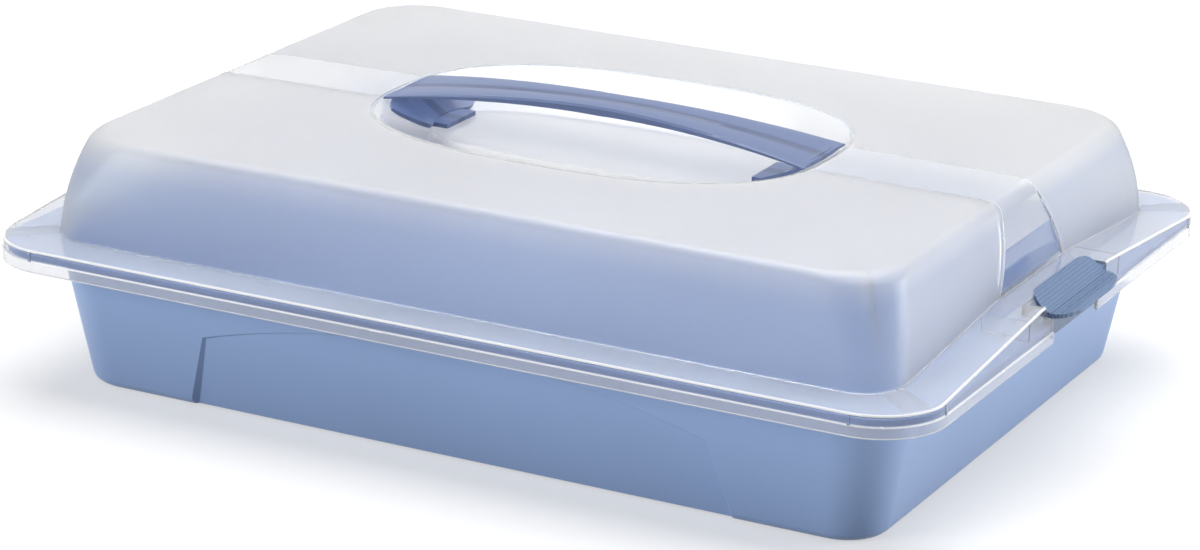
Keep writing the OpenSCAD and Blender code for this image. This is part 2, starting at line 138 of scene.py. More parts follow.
MERGE_DISTANCE = 2e-6            # points closer than this are merged
FLAT_ANGLE = math.radians(0.4)   # faces that meet at less than this become one
ROUNDED_ANGLE = math.radians(40)    # edges sharper than this are rounded
NORMAL_WEIGHT = 70               # how far large faces lead the shading
MOULDED_SMOOTH, LID_SMOOTH = 32, 35    # angles in degrees up to which shading is smooth


def mix(a, b, u):
    return a + (b - a) * u


def clamp(u):
    return max(0.0, min(1.0, u))


def deselect():
    bpy.ops.object.select_all(action="DESELECT")


def activate(piece):
    deselect()
    piece.select_set(True)
    bpy.context.view_layer.objects.active = piece


def loft(name, rings):
    """A closed solid: a filled circle is shaped into the first ring, and each next ring is
    extruded from the one before it. All rings have the same number of points."""
    deselect()
    bpy.ops.mesh.primitive_circle_add(vertices=len(rings[0]), fill_type="NGON")
    piece = bpy.context.object
    piece.name = name
    piece.data.name = name
    bpy.ops.object.mode_set(mode="EDIT")
    mesh = bmesh.from_edit_mesh(piece.data)
    loop = list(mesh.verts)
    place(loop, rings[0])
    for edge in mesh.edges:
        edge.select = True
    for ring in rings[1:]:
        mesh.verts.ensure_lookup_table()
        before = {vert: index for index, vert in enumerate(loop)}
        for face in mesh.faces:
            face.select = False
        for a, b in zip(loop, loop[1:] + loop[:1]):
            mesh.edges.get((a, b)).select = True
        bpy.ops.mesh.extrude_edges_move()
        mesh = bmesh.from_edit_mesh(piece.data)
        fresh = {}
        for vert in (v for v in mesh.verts if v.select):
            root = next(e.other_vert(vert) for e in vert.link_edges if e.other_vert(vert) in before)
            fresh[before[root]] = vert
        loop = [fresh[index] for index in range(len(ring))]
        place(loop, ring)
    bpy.ops.mesh.edge_face_add()
    bpy.ops.mesh.select_all(action="SELECT")
    bpy.ops.mesh.normals_make_consistent(inside=False)
    bpy.ops.object.mode_set(mode="OBJECT")
    return piece


def place(loop, ring):
    for vert, point in zip(loop, ring):
        vert.co = point


def block(name, low, high):
    """A box between two corners"""
    deselect()
    low, high = Vector(low), Vector(high)
    bpy.ops.mesh.primitive_cube_add(size=1, location=(low + high) / 2, scale=high - low)
    bpy.ops.object.transform_apply(location=True, rotation=False, scale=True)
    bpy.context.object.name = name
    return bpy.context.object


def combine(piece, tools, operation):
    """Joins the tools into one object and adds them to the piece or cuts them from it"""
    deselect()
    for tool in tools:
        tool.select_set(True)
    bpy.context.view_layer.objects.active = tools[0]
    bpy.ops.object.join()
    tool = bpy.context.object
    boolean = piece.modifiers.new("combine", "BOOLEAN")
    boolean.operation = operation
    boolean.solver = "EXACT"
    boolean.use_self = True
    boolean.object = tool
    activate(piece)
    bpy.ops.object.modifier_apply(modifier=boolean.name)
    bpy.data.objects.remove(tool)


def refined_copy(node, name, bevel):
    """A copy of a frame node, merged, with its flat faces whole and its edges rounded"""
    piece = bpy.data.objects.new(name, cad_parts[node].data.copy())
    bpy.context.scene.collection.objects.link(piece)
    piece.data.name = name
    activate(piece)
    if piece.data.has_custom_normals:
        bpy.ops.mesh.customdata_custom_splitnormals_clear()
    bpy.ops.object.mode_set(mode="EDIT")
    bpy.ops.mesh.select_all(action="SELECT")
    bpy.ops.mesh.remove_doubles(threshold=MERGE_DISTANCE)
    bpy.ops.mesh.dissolve_limited(angle_limit=FLAT_ANGLE)
    bpy.ops.object.mode_set(mode="OBJECT")
    rounding = piece.modifiers.new("rounding", "BEVEL")
    rounding.width = bevel
    rounding.segments = 2
    rounding.limit_method = "ANGLE"
    rounding.angle_limit = ROUNDED_ANGLE
    rounding.use_clamp_overlap = True
    bpy.ops.object.modifier_apply(modifier=rounding.name)
    smooth_shade(piece, MOULDED_SMOOTH)
    return piece


def smooth_shade(piece, angle):
    """Smooth shading up to an angle in degrees, led by the large faces"""
    activate(piece)
    bpy.ops.object.shade_smooth_by_angle(angle=math.radians(angle))
    weight = piece.modifiers.new("weight", "WEIGHTED_NORMAL")
    weight.keep_sharp = True
    weight.weight = NORMAL_WEIGHT
    bpy.ops.object.modifier_apply(modifier=weight.name)


def finish_piece(piece, body, node, material):
    """Gives a piece its material and lets it ride on a body in place of a frame node"""
    piece.data.materials.clear()
    piece.data.materials.append(material)
    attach(piece, body)
    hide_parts(node)


# ---- Materials ------------------------------------------------------------------------

MOULDED_GRAIN, FROST_GRAIN = 0.0004, 0.0007    # grain sizes of the blue parts and the lid
SHADE_CHANGE = 0.03              # share by which a colour slowly changes
SLOW_SCALE = 9.0                 # scale of that change
MARK_STRETCH = (30.0, 500.0, 120.0)    # the handling marks run along x
MARK_FROM, MARK_TO = 0.62, 0.75  # noise values between which a mark begins to show
MOULDED_MARKS = 0.1              # how much the marks roughen the blue parts
BUMP_DISTANCE = 0.0001           # depth of the grain
MOULDED_BUMP, LID_BUMP = 0.35, 0.4    # bump strengths
RIDGE_DISTANCE, RIDGE_SHARE = 0.0004, 0.9    # depth of the ridges, and their share of the bump
RIDGE_PAINTED_SHADE, GROOVE_PAINTED_SHADE = 0.72, 0.68    # painted shade between the ridges and in the groove
RIDGE_LOW, RIDGE_HIGH = -1.0, 0.4    # values of the ridges' wave that this painted shade fades between
GROOVE_FLAT = 0.6                # share of the groove that takes the full painted shade
BLUE_IOR, LID_IOR = 1.49, 1.35
PAINTED_SHADE_LOW, PAINTED_SHADE_HIGH = 0.098, 0.1185    # heights between which the walls' painted shade fades into the roof's colour
END_PAINTED_LIGHT_IN, END_PAINTED_LIGHT_OUT = 0.185, 0.207    # and the same for the painted light towards the end walls, from the middle
END_PAINTED_LIGHT_SHARE = 0.45            # how far the end walls take the roof's colour as painted light


def add(tree, kind, values=None, **settings):
    """A shader node with its settings and the values or links of its inputs"""
    node = tree.nodes.new(kind)
    for key, value in settings.items():
        setattr(node, key, value)
    for key, value in (values or {}).items():
        if isinstance(value, bpy.types.NodeSocket):
            tree.links.new(value, node.inputs[key])
        else:
            node.inputs[key].default_value = value
    return node


def maths(tree, operation, a, b=0.0, c=0.0):
    return add(tree, "ShaderNodeMath", {0: a, 1: b, 2: c}, operation=operation).outputs[0]


def new_group(name, inputs, outputs):
    """An empty node group with its sockets, given as (kind, name, default)"""
    group = bpy.data.node_groups.new(name, "ShaderNodeTree")
    for direction, sockets in (("INPUT", inputs), ("OUTPUT", outputs)):
        for kind, label, default in sockets:
            socket = group.interface.new_socket(
                name=label, in_out=direction, socket_type="NodeSocket" + kind
            )
            if default is not None:
                socket.default_value = default
    return group, add(group, "NodeGroupInput"), add(group, "NodeGroupOutput")


def moulding_group():
    """Fine grain of a moulded surface, slow shade changes and faint handling marks"""
    group = bpy.data.node_groups.get("moulding")
    if group:
        return group
    group, source, sink = new_group(
        "moulding",
        [("Float", "Grain Size", 0.0004), ("Float", "Grain", 0.5), ("Float", "Marks", 0.2)],
        [("Float", "Height", None), ("Float", "Shade", None), ("Float", "Gloss Change", None)],
    )
    place_at = add(group, "ShaderNodeTexCoord").outputs["Object"]
    scale = maths(group, "DIVIDE", 1.0, source.outputs["Grain Size"])
    grain = add(group, "ShaderNodeTexNoise", {"Vector": place_at, "Scale": scale, "Detail": 3.0})
    slow = add(group, "ShaderNodeTexNoise", {"Vector": place_at, "Scale": SLOW_SCALE, "Detail": 2.0})
    mapping = add(group, "ShaderNodeMapping", {"Vector": place_at, "Scale": MARK_STRETCH})
    marks = add(group, "ShaderNodeTexNoise", {"Vector": mapping.outputs[0], "Scale": 1.0, "Detail": 2.0})
    fine = add(
        group, "ShaderNodeMapRange",
        {"Value": marks.outputs["Fac"], "From Min": MARK_FROM, "From Max": MARK_TO},
    ).outputs[0]
    height = maths(group, "MULTIPLY", grain.outputs["Fac"], source.outputs["Grain"])
    group.links.new(height, sink.inputs["Height"])
    shade = add(
        group, "ShaderNodeMapRange",
        {"Value": slow.outputs["Fac"], "From Min": 0.3, "From Max": 0.7,
         "To Min": 1 - SHADE_CHANGE, "To Max": 1 + SHADE_CHANGE},
    ).outputs[0]
    group.links.new(shade, sink.inputs["Shade"])
    gloss = maths(group, "MULTIPLY", fine, source.outputs["Marks"])
    group.links.new(gloss, sink.inputs["Gloss Change"])
    return group


def add_moulding(tree, grain_size, grain, marks):
    """The moulding group, placed in a material with its own values"""
    mould = add(tree, "ShaderNodeGroup", node_tree=moulding_group())
    mould.inputs["Grain Size"].default_value = grain_size
    mould.inputs["Grain"].default_value = grain
    mould.inputs["Marks"].default_value = marks
    return mould


def shaded_tint(tree, shader, tint, shade):
    """Feeds a colour times a shade to the shader"""
    shaded = add(tree, "ShaderNodeVectorMath", {0: tint}, operation="SCALE")
    tree.links.new(shade, shaded.inputs["Scale"])
    tree.links.new(shaded.outputs[0], shader.inputs["Base Color"])


def add_bump(tree, shader, height, distance, strength):
    """Bump of one height, fed to the shader's normal"""
    bump = add(
        tree, "ShaderNodeBump", {"Height": height, "Distance": distance, "Strength": strength}
    )
    tree.links.new(bump.outputs[0], shader.inputs["Normal"])


def new_material(name):
    material = bpy.data.materials.new(name)
    material.use_nodes = True
    tree = material.node_tree
    return material, tree, tree.nodes["Principled BSDF"]


def blue_plastic(name, tint, roughness, grain, ridges=0.0, groove=0.0):
    """Moulded plastic. Ridges is the pitch of fine ridges across x, with painted shade between them, and
    groove is the half width of a groove along x that is darkened as painted shade."""
    material, tree, shader = new_material(name)
    mould = add_moulding(tree, MOULDED_GRAIN, grain, MOULDED_MARKS)
    place_at = add(tree, "ShaderNodeTexCoord").outputs["Object"]
    along = add(tree, "ShaderNodeSeparateXYZ", {0: place_at}).outputs
    height, shade = mould.outputs["Height"], mould.outputs["Shade"]
    distance = BUMP_DISTANCE
    if ridges:
        wave = maths(tree, "SINE", maths(tree, "MULTIPLY", along["X"], 2 * math.pi / ridges))
        height = maths(tree, "MULTIPLY_ADD", wave, RIDGE_SHARE, height)
        distance = RIDGE_DISTANCE
        # Painted shade: the troughs between the ridges are darkened.
        painted_shade = add(
            tree, "ShaderNodeMapRange",
            {"Value": wave, "From Min": RIDGE_LOW, "From Max": RIDGE_HIGH,
             "To Min": RIDGE_PAINTED_SHADE, "To Max": 1.0},
        ).outputs[0]
        shade = maths(tree, "MULTIPLY", shade, painted_shade)
    if groove:
        # Painted shade: the groove is darkened, fully so in its middle.
        aside = maths(tree, "ABSOLUTE", along["Y"])
        painted_shade = add(
            tree, "ShaderNodeMapRange",
            {"Value": aside, "From Min": GROOVE_FLAT * groove, "From Max": groove,
             "To Min": GROOVE_PAINTED_SHADE, "To Max": 1.0},
            interpolation_type="SMOOTHSTEP",
        ).outputs[0]
        shade = maths(tree, "MULTIPLY", shade, painted_shade)
    shaded_tint(tree, shader, tint, shade)
    gloss = maths(tree, "ADD", mould.outputs["Gloss Change"], roughness)
    tree.links.new(gloss, shader.inputs["Roughness"])
    add_bump(tree, shader, height, distance, MOULDED_BUMP)
    shader.inputs["IOR"].default_value = BLUE_IOR
    return material


def lid_plastic(name, tints, roughness, transmission, grain, marks):
    """The lid's plastic, frosted by its roughness and grain, or polished. Its first tint is for the lit
    roof and its last one is a painted shade for the foot of the walls: the walls blend between them by
    height, and the end walls take part of the roof's colour as painted light."""
    material, tree, shader = new_material(name)
    mould = add_moulding(tree, FROST_GRAIN, grain, marks)
    tint = tints[0]
    if len(tints) > 1:
        # Painted light and shade: the walls are darker and bluer at their foot and turn to the roof's
        # colour higher up and on the end walls.
        place_at = add(tree, "ShaderNodeTexCoord").outputs["Object"]
        along = add(tree, "ShaderNodeSeparateXYZ", {0: place_at}).outputs
        share = add(
            tree, "ShaderNodeMapRange",
            {"Value": along["Z"], "From Min": PAINTED_SHADE_LOW, "From Max": PAINTED_SHADE_HIGH},
            interpolation_type="SMOOTHSTEP",
        ).outputs[0]
        end_painted_light = add(
            tree, "ShaderNodeMapRange",
            {"Value": maths(tree, "ABSOLUTE", along["X"]), "From Min": END_PAINTED_LIGHT_IN,
             "From Max": END_PAINTED_LIGHT_OUT, "To Max": END_PAINTED_LIGHT_SHARE},
            interpolation_type="SMOOTHSTEP",
        ).outputs[0]
        share = maths(tree, "MAXIMUM", share, end_painted_light)
        tint = add(
            tree, "ShaderNodeMix",
            {0: share, 6: (*tints[-1], 1), 7: (*tints[0], 1)}, data_type="RGBA",
        ).outputs[2]
    shaded_tint(tree, shader, tint, mould.outputs["Shade"])
    gloss = maths(tree, "ADD", mould.outputs["Gloss Change"], roughness)
    tree.links.new(gloss, shader.inputs["Roughness"])
    add_bump(tree, shader, mould.outputs["Height"], BUMP_DISTANCE, LID_BUMP)
    shader.inputs["Transmission Weight"].default_value = transmission
    shader.inputs["IOR"].default_value = LID_IOR
    return material


# ---- The lid --------------------------------------------------------------------------

ARC_STEPS = 20                   # steps in each corner of a ring
RING_POINTS = 4 * (ARC_STEPS + 2)
WALL_STEPS = 12                  # rings up the dome's wall
SHOULDER_STEPS = range(29, 86, 8)    # angles of the rings round the shoulder, in degrees
FOOT_STEPS = (0, 30, 60)         # and of those round the dome's foot
FOOT_RADIUS = 0.0009             # rounding between the ledge and the dome
EDGE_STEPS = range(0, 91, 18)    # angles of the rings round the ledge's outer edge
SLOPE_STEPS = 20                 # rings up the slope of the recess
SLOPE_FOOT, SLOPE_SHARE = 0.04, 0.9    # start and length of the slope between floor and roof
SLOPE_THIN = 0.6                 # growth of the recess's underside, as a share of its drop
WALL_LEAN = math.radians(21)     # lean of the dome's wall at the shoulder
WALL_THIN = 0.2                  # drop of the dome's inner wall, as a share of the wall
SHOULDER_DROP = 0.0005           # from the crease to the top of the shoulder
SHOULDER_GROWTH = 0.001          # the shoulder's corners open by this
GROWTH_FROM, GROWTH_OVER = 21, 19    # from this angle on, over this many degrees
FLOOR_POWER, ROOF_POWER = 3.0, 2.6    # exponents of the recess's outline
SOFT = 0.044                     # share of the slope that its two roundings take
NOTCH_X = 0.217                  # inner face of the notch for a latch
NOTCH_STEP = 0.0061              # depth of the notch's upper, wider part
CHEEK_BACK, CHEEK_INSET = 0.003, 0.0014    # its cheeks start behind the notch, end inside the rim
WIDE_NOTCH, NARROW_NOTCH = 0.035, 0.0255    # half widths of its two parts
RIB_Y, RIB_BACK = 0.051, 0.001   # the platform's ribs from the middle, and behind the dome's foot
TICK_WIDTH, TICK_DROP = 0.0012, 0.0006    # the ticks' width, and their top below the ledge
TICK_START = 0.001               # distance of the long sides' ticks from the corners
WEB_HEIGHT = 0.025               # height of the webs in the dome's corners
WEB_DROP = 0.0012                # depth of the webs' upper edge in the roof, and of its step
WEB_REACH = (0.005, 0.0085, 0.0205)    # where the webs' upper edge bends and ends
OVERLAP = 0.0002                 # how far parts run into each other before they are united
OVERCUT = 0.001                  # how far a cut starts outside the lid
WINDOW_FOOT, WINDOW_SHOULDER = 0.002, 0.006    # window above the platform, shoulder below the top
WINDOW_CUT = 0.0045              # thickness of the block that cuts a window
WINDOW_NARROW, WINDOW_FLARE = 0.003, 0.004    # its border inside the band's foot, outside its top
BEAD_SIDES = 8
BEAD_LEAN = 0.75                 # the beads' lean on the wall, as a share of the wall's
BEAD_TAIL = ((0.004, 0.0002), (0.006, 0.0009))    # they run on over the roof and sink into it
PRONG_X, PRONG_Y = 0.0794, (0.005, 0.011)   # inner face and sides of the handle's prongs
SLOT_X = (0.00125, 0.00255)      # the slots reach this far inwards and outwards from PRONG_X
SLOT_PLAY = 0.00035              # play beside the prongs
SLOT_DEPTH = 0.004               # reach of the slots' cut above and below the floor


def ramp(y):
    """Share of the ramp's rise at distance y from the middle"""
    s = sizes()
    return clamp((s.ramp_half - abs(y)) / (s.ramp_half - s.platform_half))


def rectangle_ring(inset, radius, z, lift=0.0):
    """A rounded rectangle inset from the rim, with its short ends lifted to the platform"""
    ring = []
    far = sizes().platform_half
    for quarter in range(4):
        sign_x = 1 if quarter < 2 else -1
        sign_y = 1 if quarter in (1, 2) else -1
        for step in range(ARC_STEPS + 1):
            angle = math.radians(90 * (quarter - 1) + 90 * step / ARC_STEPS)
            ring.append((sign_x * (RIM_HALF_X - inset - radius) + radius * math.cos(angle),
                         sign_y * (RIM_HALF_Y - inset - radius) + radius * math.sin(angle)))
        if quarter % 2 == 0:
            ring += [(sign_x * (RIM_HALF_X - inset), sign_x * side * far) for side in (-1, 1)]
    return [(x, y, z + lift * ramp(y)) for x, y in ring]


def oval_ring(half_x, half_y, power, z):
    """A superellipse"""
    ring = []
    for step in range(RING_POINTS):
        angle = 2 * math.pi * (step + 0.5) / RING_POINTS - math.pi / 2
        cos, sin = math.cos(angle), math.sin(angle)
        ring.append((math.copysign(half_x * abs(cos) ** (2 / power), cos),
                     math.copysign(half_y * abs(sin) ** (2 / power), sin), z))
    return ring


def soft_ramp(t):
    """t held between 0 and 1, with a small rounding at each end"""
    if t < SOFT:
        return max(0.0, t + SOFT) ** 2 / (4 * SOFT)
    if t > 1 - SOFT:
        return 1 - max(0.0, 1 + SOFT - t) ** 2 / (4 * SOFT)
    return t


def recess_rings(drop):
    """Rings of the recess from its floor to the roof, dropped by the wall's thickness"""
    s = sizes()
    rings = []
    slope = [mix(0.08, 0.92, k / SLOPE_STEPS) for k in range(SLOPE_STEPS + 1)]
    for u in [0, 0.02, 0.04, 0.06] + slope + [0.94, 0.96, 0.98, 1]:
        rings.append(oval_ring(
            mix(s.floor_half_x, s.recess_half_x, u) + SLOPE_THIN * drop,
            mix(s.floor_half_y, s.recess_half_y, u) + SLOPE_THIN * drop,
            mix(FLOOR_POWER, ROOF_POWER, u),
            ROOF_TOP - s.recess_depth * (1 - soft_ramp((u - SLOPE_FOOT) / SLOPE_SHARE)) - drop))
    return rings


def wall_top():
    """Height of the top of the dome's wall, where its shoulder starts"""
    s = sizes()
    return ROOF_TOP - s.crown - SHOULDER_DROP - s.shoulder_radius * (1 - math.sin(WALL_LEAN))


def dome_rings(t, base, foot):
    """Rings of the dome's wall and shoulder, moved inward by t, with a rounded foot"""
    s = sizes()
    rings = []
    if foot:
        for degrees in FOOT_STEPS:
            back = foot * (1 - math.sin(math.radians(degrees)))
            rise = foot * (1 - math.cos(math.radians(degrees)))
            rings.append(rectangle_ring(
                s.ledge_width + t - back, s.dome_foot_radius - t + back, base + rise, s.ramp_rise))
    first = foot / (wall_top() - base)
    for k in range(WALL_STEPS + 1):
        u = mix(first, 1, k / WALL_STEPS)
        rings.append(rectangle_ring(
            s.ledge_width + s.dome_lean * u * u + t,
            mix(s.dome_foot_radius, s.dome_top_radius, u) - t,
            mix(base, wall_top() - WALL_THIN * t, u), s.ramp_rise * (1 - u)))
    radius = s.shoulder_radius - t
    for degrees in SHOULDER_STEPS:
        angle = math.radians(degrees)
        rings.append(rectangle_ring(
            s.ledge_width + s.dome_lean + t + radius * (math.cos(WALL_LEAN) - math.cos(angle)),
            s.dome_top_radius - t + SHOULDER_GROWTH * clamp((degrees - GROWTH_FROM) / GROWTH_OVER),
            wall_top() - WALL_THIN * t + radius * (math.sin(angle) - math.sin(WALL_LEAN))))
    return rings


def skirt_rings():
    """Rings down the outside of the skirt and up its inside"""
    s = sizes()
    rings = []
    for degrees in EDGE_STEPS:
        angle = math.radians(degrees)
        back = s.edge_radius * (1 - math.sin(angle))
        rings.append(rectangle_ring(
            s.band_inset + back, s.rim_radius - s.band_inset - back,
            s.ledge - s.edge_radius * (1 - math.cos(angle)), s.ramp_rise))
    inner = s.wall + s.band_inset
    for inset, z, lift in (      # the bead, then the lower edge, then the inside
        (s.band_inset, s.bead + 0.0006, 0),
        (s.band_inset - 0.0001, s.bead + 0.0003, 0),
        (0.0001, s.bead + 0.0001, 0),
        (0, s.bead - 0.0002, 0),
        (0, SKIRT_LOW + 0.0006, 0),
        (0.0002, SKIRT_LOW + 0.0002, 0),
        (0.0006, SKIRT_LOW, 0),
        (s.wall - 0.0004, SKIRT_LOW, 0),
        (s.wall, SKIRT_LOW + 0.0004, 0),
        (s.wall, s.bead - 0.0002, 0),
        (inner, s.bead + 0.0004, 0),
        (inner, s.ledge - s.wall, s.ramp_rise),
    ):
        rings.append(rectangle_ring(inset, s.rim_radius - inset, z, lift))
    return rings


def lid_shell():
    """From the underside of the recess out to the skirt, and back over the top"""
    s = sizes()
    roof = ROOF_TOP - s.crown
    return loft("lid", (
        recess_rings(s.wall)
        + [rectangle_ring(s.crease_inset, s.crease_radius, roof - s.wall)]
        + dome_rings(s.wall, s.ledge - s.wall, 0.0)[::-1]
        + skirt_rings()[::-1]
        + dome_rings(0.0, s.ledge, FOOT_RADIUS)
        + [rectangle_ring(s.crease_inset, s.crease_radius, roof)]
        + recess_rings(0.0)[::-1]))


def mark_band(lid):
    """Edges along the borders of the band that runs over the roof"""
    activate(lid)
    bpy.ops.object.mode_set(mode="EDIT")
    for side in (-1, 1):
        bpy.ops.mesh.select_all(action="SELECT")
        bpy.ops.mesh.bisect(plane_co=(0, side * sizes().band_half_top, 0), plane_no=(0, 1, 0))
    bpy.ops.object.mode_set(mode="OBJECT")


def both_ends(low, high):
    """A block at the right end of the lid, and its mirror image at the left end"""
    return [
        block("right", low, high),
        block("left", (-high[0], low[1], low[2]), (-low[0], high[1], high[2])),
    ]


def both_sides(low, high):
    """The same two blocks, and their mirror images on the other side"""
    return both_ends(low, high) + both_ends(
        (low[0], -high[1], low[2]), (high[0], -low[1], high[2]))


def platform_height():
    s = sizes()
    return s.ledge + s.ramp_rise


def stiffeners():
    """Cheeks and ribs under the platforms, and ticks on the skirt"""
    s = sizes()
    top = platform_height()
    cheek_low, cheek_high = top - NOTCH_STEP, top - 0.5 * s.wall
    cheek_x = NOTCH_X - CHEEK_BACK
    rib_low = s.ledge - s.wall + OVERLAP
    rib_high = s.ledge + s.ramp_rise * ramp(RIB_Y) - 0.5 * s.wall - 0.5 * OVERLAP
    tick_low, tick_high = s.bead, s.ledge - TICK_DROP
    corner_x, corner_y = RIM_HALF_X - s.rim_radius, RIM_HALF_Y - s.rim_radius
    tools = both_sides((cheek_x, WIDE_NOTCH, cheek_low),
                       (RIM_HALF_X - CHEEK_INSET, WIDE_NOTCH + s.web, cheek_high))
    tools += both_ends((cheek_x, -WIDE_NOTCH, cheek_low), (cheek_x + s.web, WIDE_NOTCH, cheek_high))
    tools += both_sides((RIM_HALF_X - s.ledge_width - RIB_BACK, RIB_Y, rib_low),
                        (RIM_HALF_X - s.wall - OVERLAP, RIB_Y + s.web, rib_high))
    tick_x = corner_x + TICK_START
    tools += both_sides((tick_x, RIM_HALF_Y - TICK_WIDTH, tick_low),
                        (tick_x + TICK_WIDTH, RIM_HALF_Y - 0.5 * OVERLAP, tick_high))
    tools += both_sides((RIM_HALF_X - TICK_WIDTH, corner_y, tick_low),
                        (RIM_HALF_X - 0.5 * OVERLAP, corner_y + TICK_WIDTH, tick_high))
    return tools


def corner_webs():
    """A triangular web inside each corner of the dome, from the roof down"""
    s = sizes()
    top = ROOF_TOP - s.crown - WEB_DROP
    top_radius = s.dome_top_radius
    low_share = 1 - WEB_HEIGHT / (wall_top() - s.ledge)
    outline = []
    for u in (low_share, (1 + low_share) / 2, 1):
        radius = mix(s.dome_foot_radius, top_radius, u)
        drawn_in = s.dome_lean * (1 - u * u) - radius + top_radius
        outline.append((radius - 0.5 * s.wall + math.sqrt(2) * drawn_in,
                        mix(s.ledge, wall_top(), u)))
    end = outline[-1][0]
    bend, level, tip = WEB_REACH
    outline += [(end - bend, top - WEB_DROP), (end - level, top), (end - tip, top)]
    centre = Vector((RIM_HALF_X - s.ledge_width - s.dome_lean - top_radius,
                     RIM_HALF_Y - s.ledge_width - s.dome_lean - top_radius))
    webs = []
    for sign_x in (1, -1):
        for sign_y in (1, -1):
            along = Vector((sign_x, sign_y)).normalized()
            across = Vector((-along.y, along.x)) * 0.5 * s.web
            corner = Vector((sign_x * centre.x, sign_y * centre.y))
            webs.append(loft("web", [
                [(*(corner + along * d + across * side), z) for d, z in outline] for side in (-1, 1)]))
    return webs


def latch_notches():
    """The stepped notch in the platform and skirt for each latch"""
    top = platform_height()
    step = top - NOTCH_STEP
    out = RIM_HALF_X + OVERCUT
    return both_ends((NOTCH_X, -WIDE_NOTCH, step), (out, WIDE_NOTCH, top + OVERCUT)) + both_ends(
        (NOTCH_X, -NARROW_NOTCH, SKIRT_LOW - OVERCUT), (out, NARROW_NOTCH, step + OVERCUT))


def window_cuts():
    """The shallow window in each end wall, widening from the roof's band to the platform"""
    s = sizes()
    foot, top = platform_height(), wall_top()
    cuts = []
    for sign in (1, -1):
        rings = []
        for z in (foot + WINDOW_FOOT, s.window_change, top - WINDOW_SHOULDER, top + WINDOW_FOOT):
            u = clamp((z - foot) / (top - foot))
            x = RIM_HALF_X - s.ledge_width - s.dome_lean * u * u - s.window_depth
            half = window_border(z)
            rings.append([(sign * x, -half, z), (sign * (x + WINDOW_CUT), -half, z),
                          (sign * (x + WINDOW_CUT), half, z), (sign * x, half, z)])
        cuts.append(loft("window", rings))
    return cuts


def prong_slots():
    """Slots in the floor of the recess for the handle's prongs"""
    floor = ROOF_TOP - sizes().recess_depth
    return both_sides((PRONG_X - SLOT_X[0], PRONG_Y[0] - SLOT_PLAY, floor - SLOT_DEPTH),
                      (PRONG_X + SLOT_X[1], PRONG_Y[1] + SLOT_PLAY, floor + SLOT_DEPTH))


def window_border(z):
    """Half width of the window in an end wall at a height"""
    s = sizes()
    foot, top = platform_height() + WINDOW_FOOT, wall_top()
    flared = s.band_half_top + WINDOW_FLARE
    if z < top - WINDOW_SHOULDER:
        u = clamp((z - foot) / (top - WINDOW_SHOULDER - foot))
        return mix(s.band_half_foot - WINDOW_NARROW, flared, u)
    return mix(flared, s.band_half_top,
               clamp((z - top + WINDOW_SHOULDER) / (WINDOW_SHOULDER + WINDOW_FOOT)))


def window_beads():
    """A rounded bead down each side of each window, from the roof to the platform"""
    s = sizes()
    beads = []
    for sign_x in (1, -1):
        for sign_y in (1, -1):
            rings = []
            for inset, z, degrees in dome_profile():
                angle = math.radians(degrees)
                out = Vector((sign_x * math.cos(angle), 0, math.sin(angle)))
                middle = Vector((sign_x * (RIM_HALF_X - inset), sign_y * window_border(z), z))
                middle -= out * OVERLAP
                rings.append([
                    middle + s.bead_radius * (out * math.cos(turn) + Vector((0, math.sin(turn), 0)))
                    for turn in (2 * math.pi * (k + 0.5) / BEAD_SIDES for k in range(BEAD_SIDES))])
            beads.append(loft("bead", rings))
    return beads


def dome_profile():
    """Inset, height and lean of the dome's outer surface, from the platform to the roof"""
    s = sizes()
    foot, top = platform_height(), wall_top()
    lean = BEAD_LEAN * math.degrees(WALL_LEAN)
    points = [(s.ledge_width + s.dome_lean * u * u, mix(foot, top, u), lean * u)
              for u in (k / WALL_STEPS for k in range(WALL_STEPS + 1))]
    points[0] = (points[0][0], foot - s.bead_radius, 0)
    for degrees in SHOULDER_STEPS:
        angle = math.radians(degrees)
        points.append((
            s.ledge_width + s.dome_lean + s.shoulder_radius * (math.cos(WALL_LEAN) - math.cos(angle)),
            top + s.shoulder_radius * (math.sin(angle) - math.sin(WALL_LEAN)), degrees))
    inset, z, degrees = points[-1]
    return points + [(inset + further, z - sunk, 90) for further, sunk in BEAD_TAIL]


# The bright edge finish is a painted highlight and the skirt's darker finish is painted shade.
FROSTED, MILKY, CLEAR, POLISHED, PAINTED_HIGHLIGHT, SKIRT_SHADE = range(6)
SKIN = 0.001                     # faces of the skirt this close to the rim are its outside
BEAD_REACH = (0.0003, 0.0007)    # reach of the skirt's bead below and above its height
LEDGE_SLACK = 0.0001             # faces up to this far above the ledge belong to it
END_WALL_X = 0.19                # the faces of the end walls' windows lie beyond this
RECESS_SIDE, RECESS_LIP = 0.999, 0.95    # values of the recess's outline at its edge and lip
UNDERSIDE = -0.02                # faces that look down more than this are inside
INSIDE_POINT = Vector((0, 0, 0.05))    # faces that look towards this are inside too
BEAD_WIDTH = 1.2                 # half width of the beads' faces, in bead radii
WINDOW_FACE = 0.4                # share of a window's depth at which its faces begin


def rim_inset(x, y):
    """Distance of a point inside the rim's outline"""
    radius = sizes().rim_radius
    past_x, past_y = x - RIM_HALF_X + radius, y - RIM_HALF_Y + radius
    if past_x > 0 and past_y > 0:
        return radius - math.hypot(past_x, past_y)
    return min(RIM_HALF_X - x, RIM_HALF_Y - y)


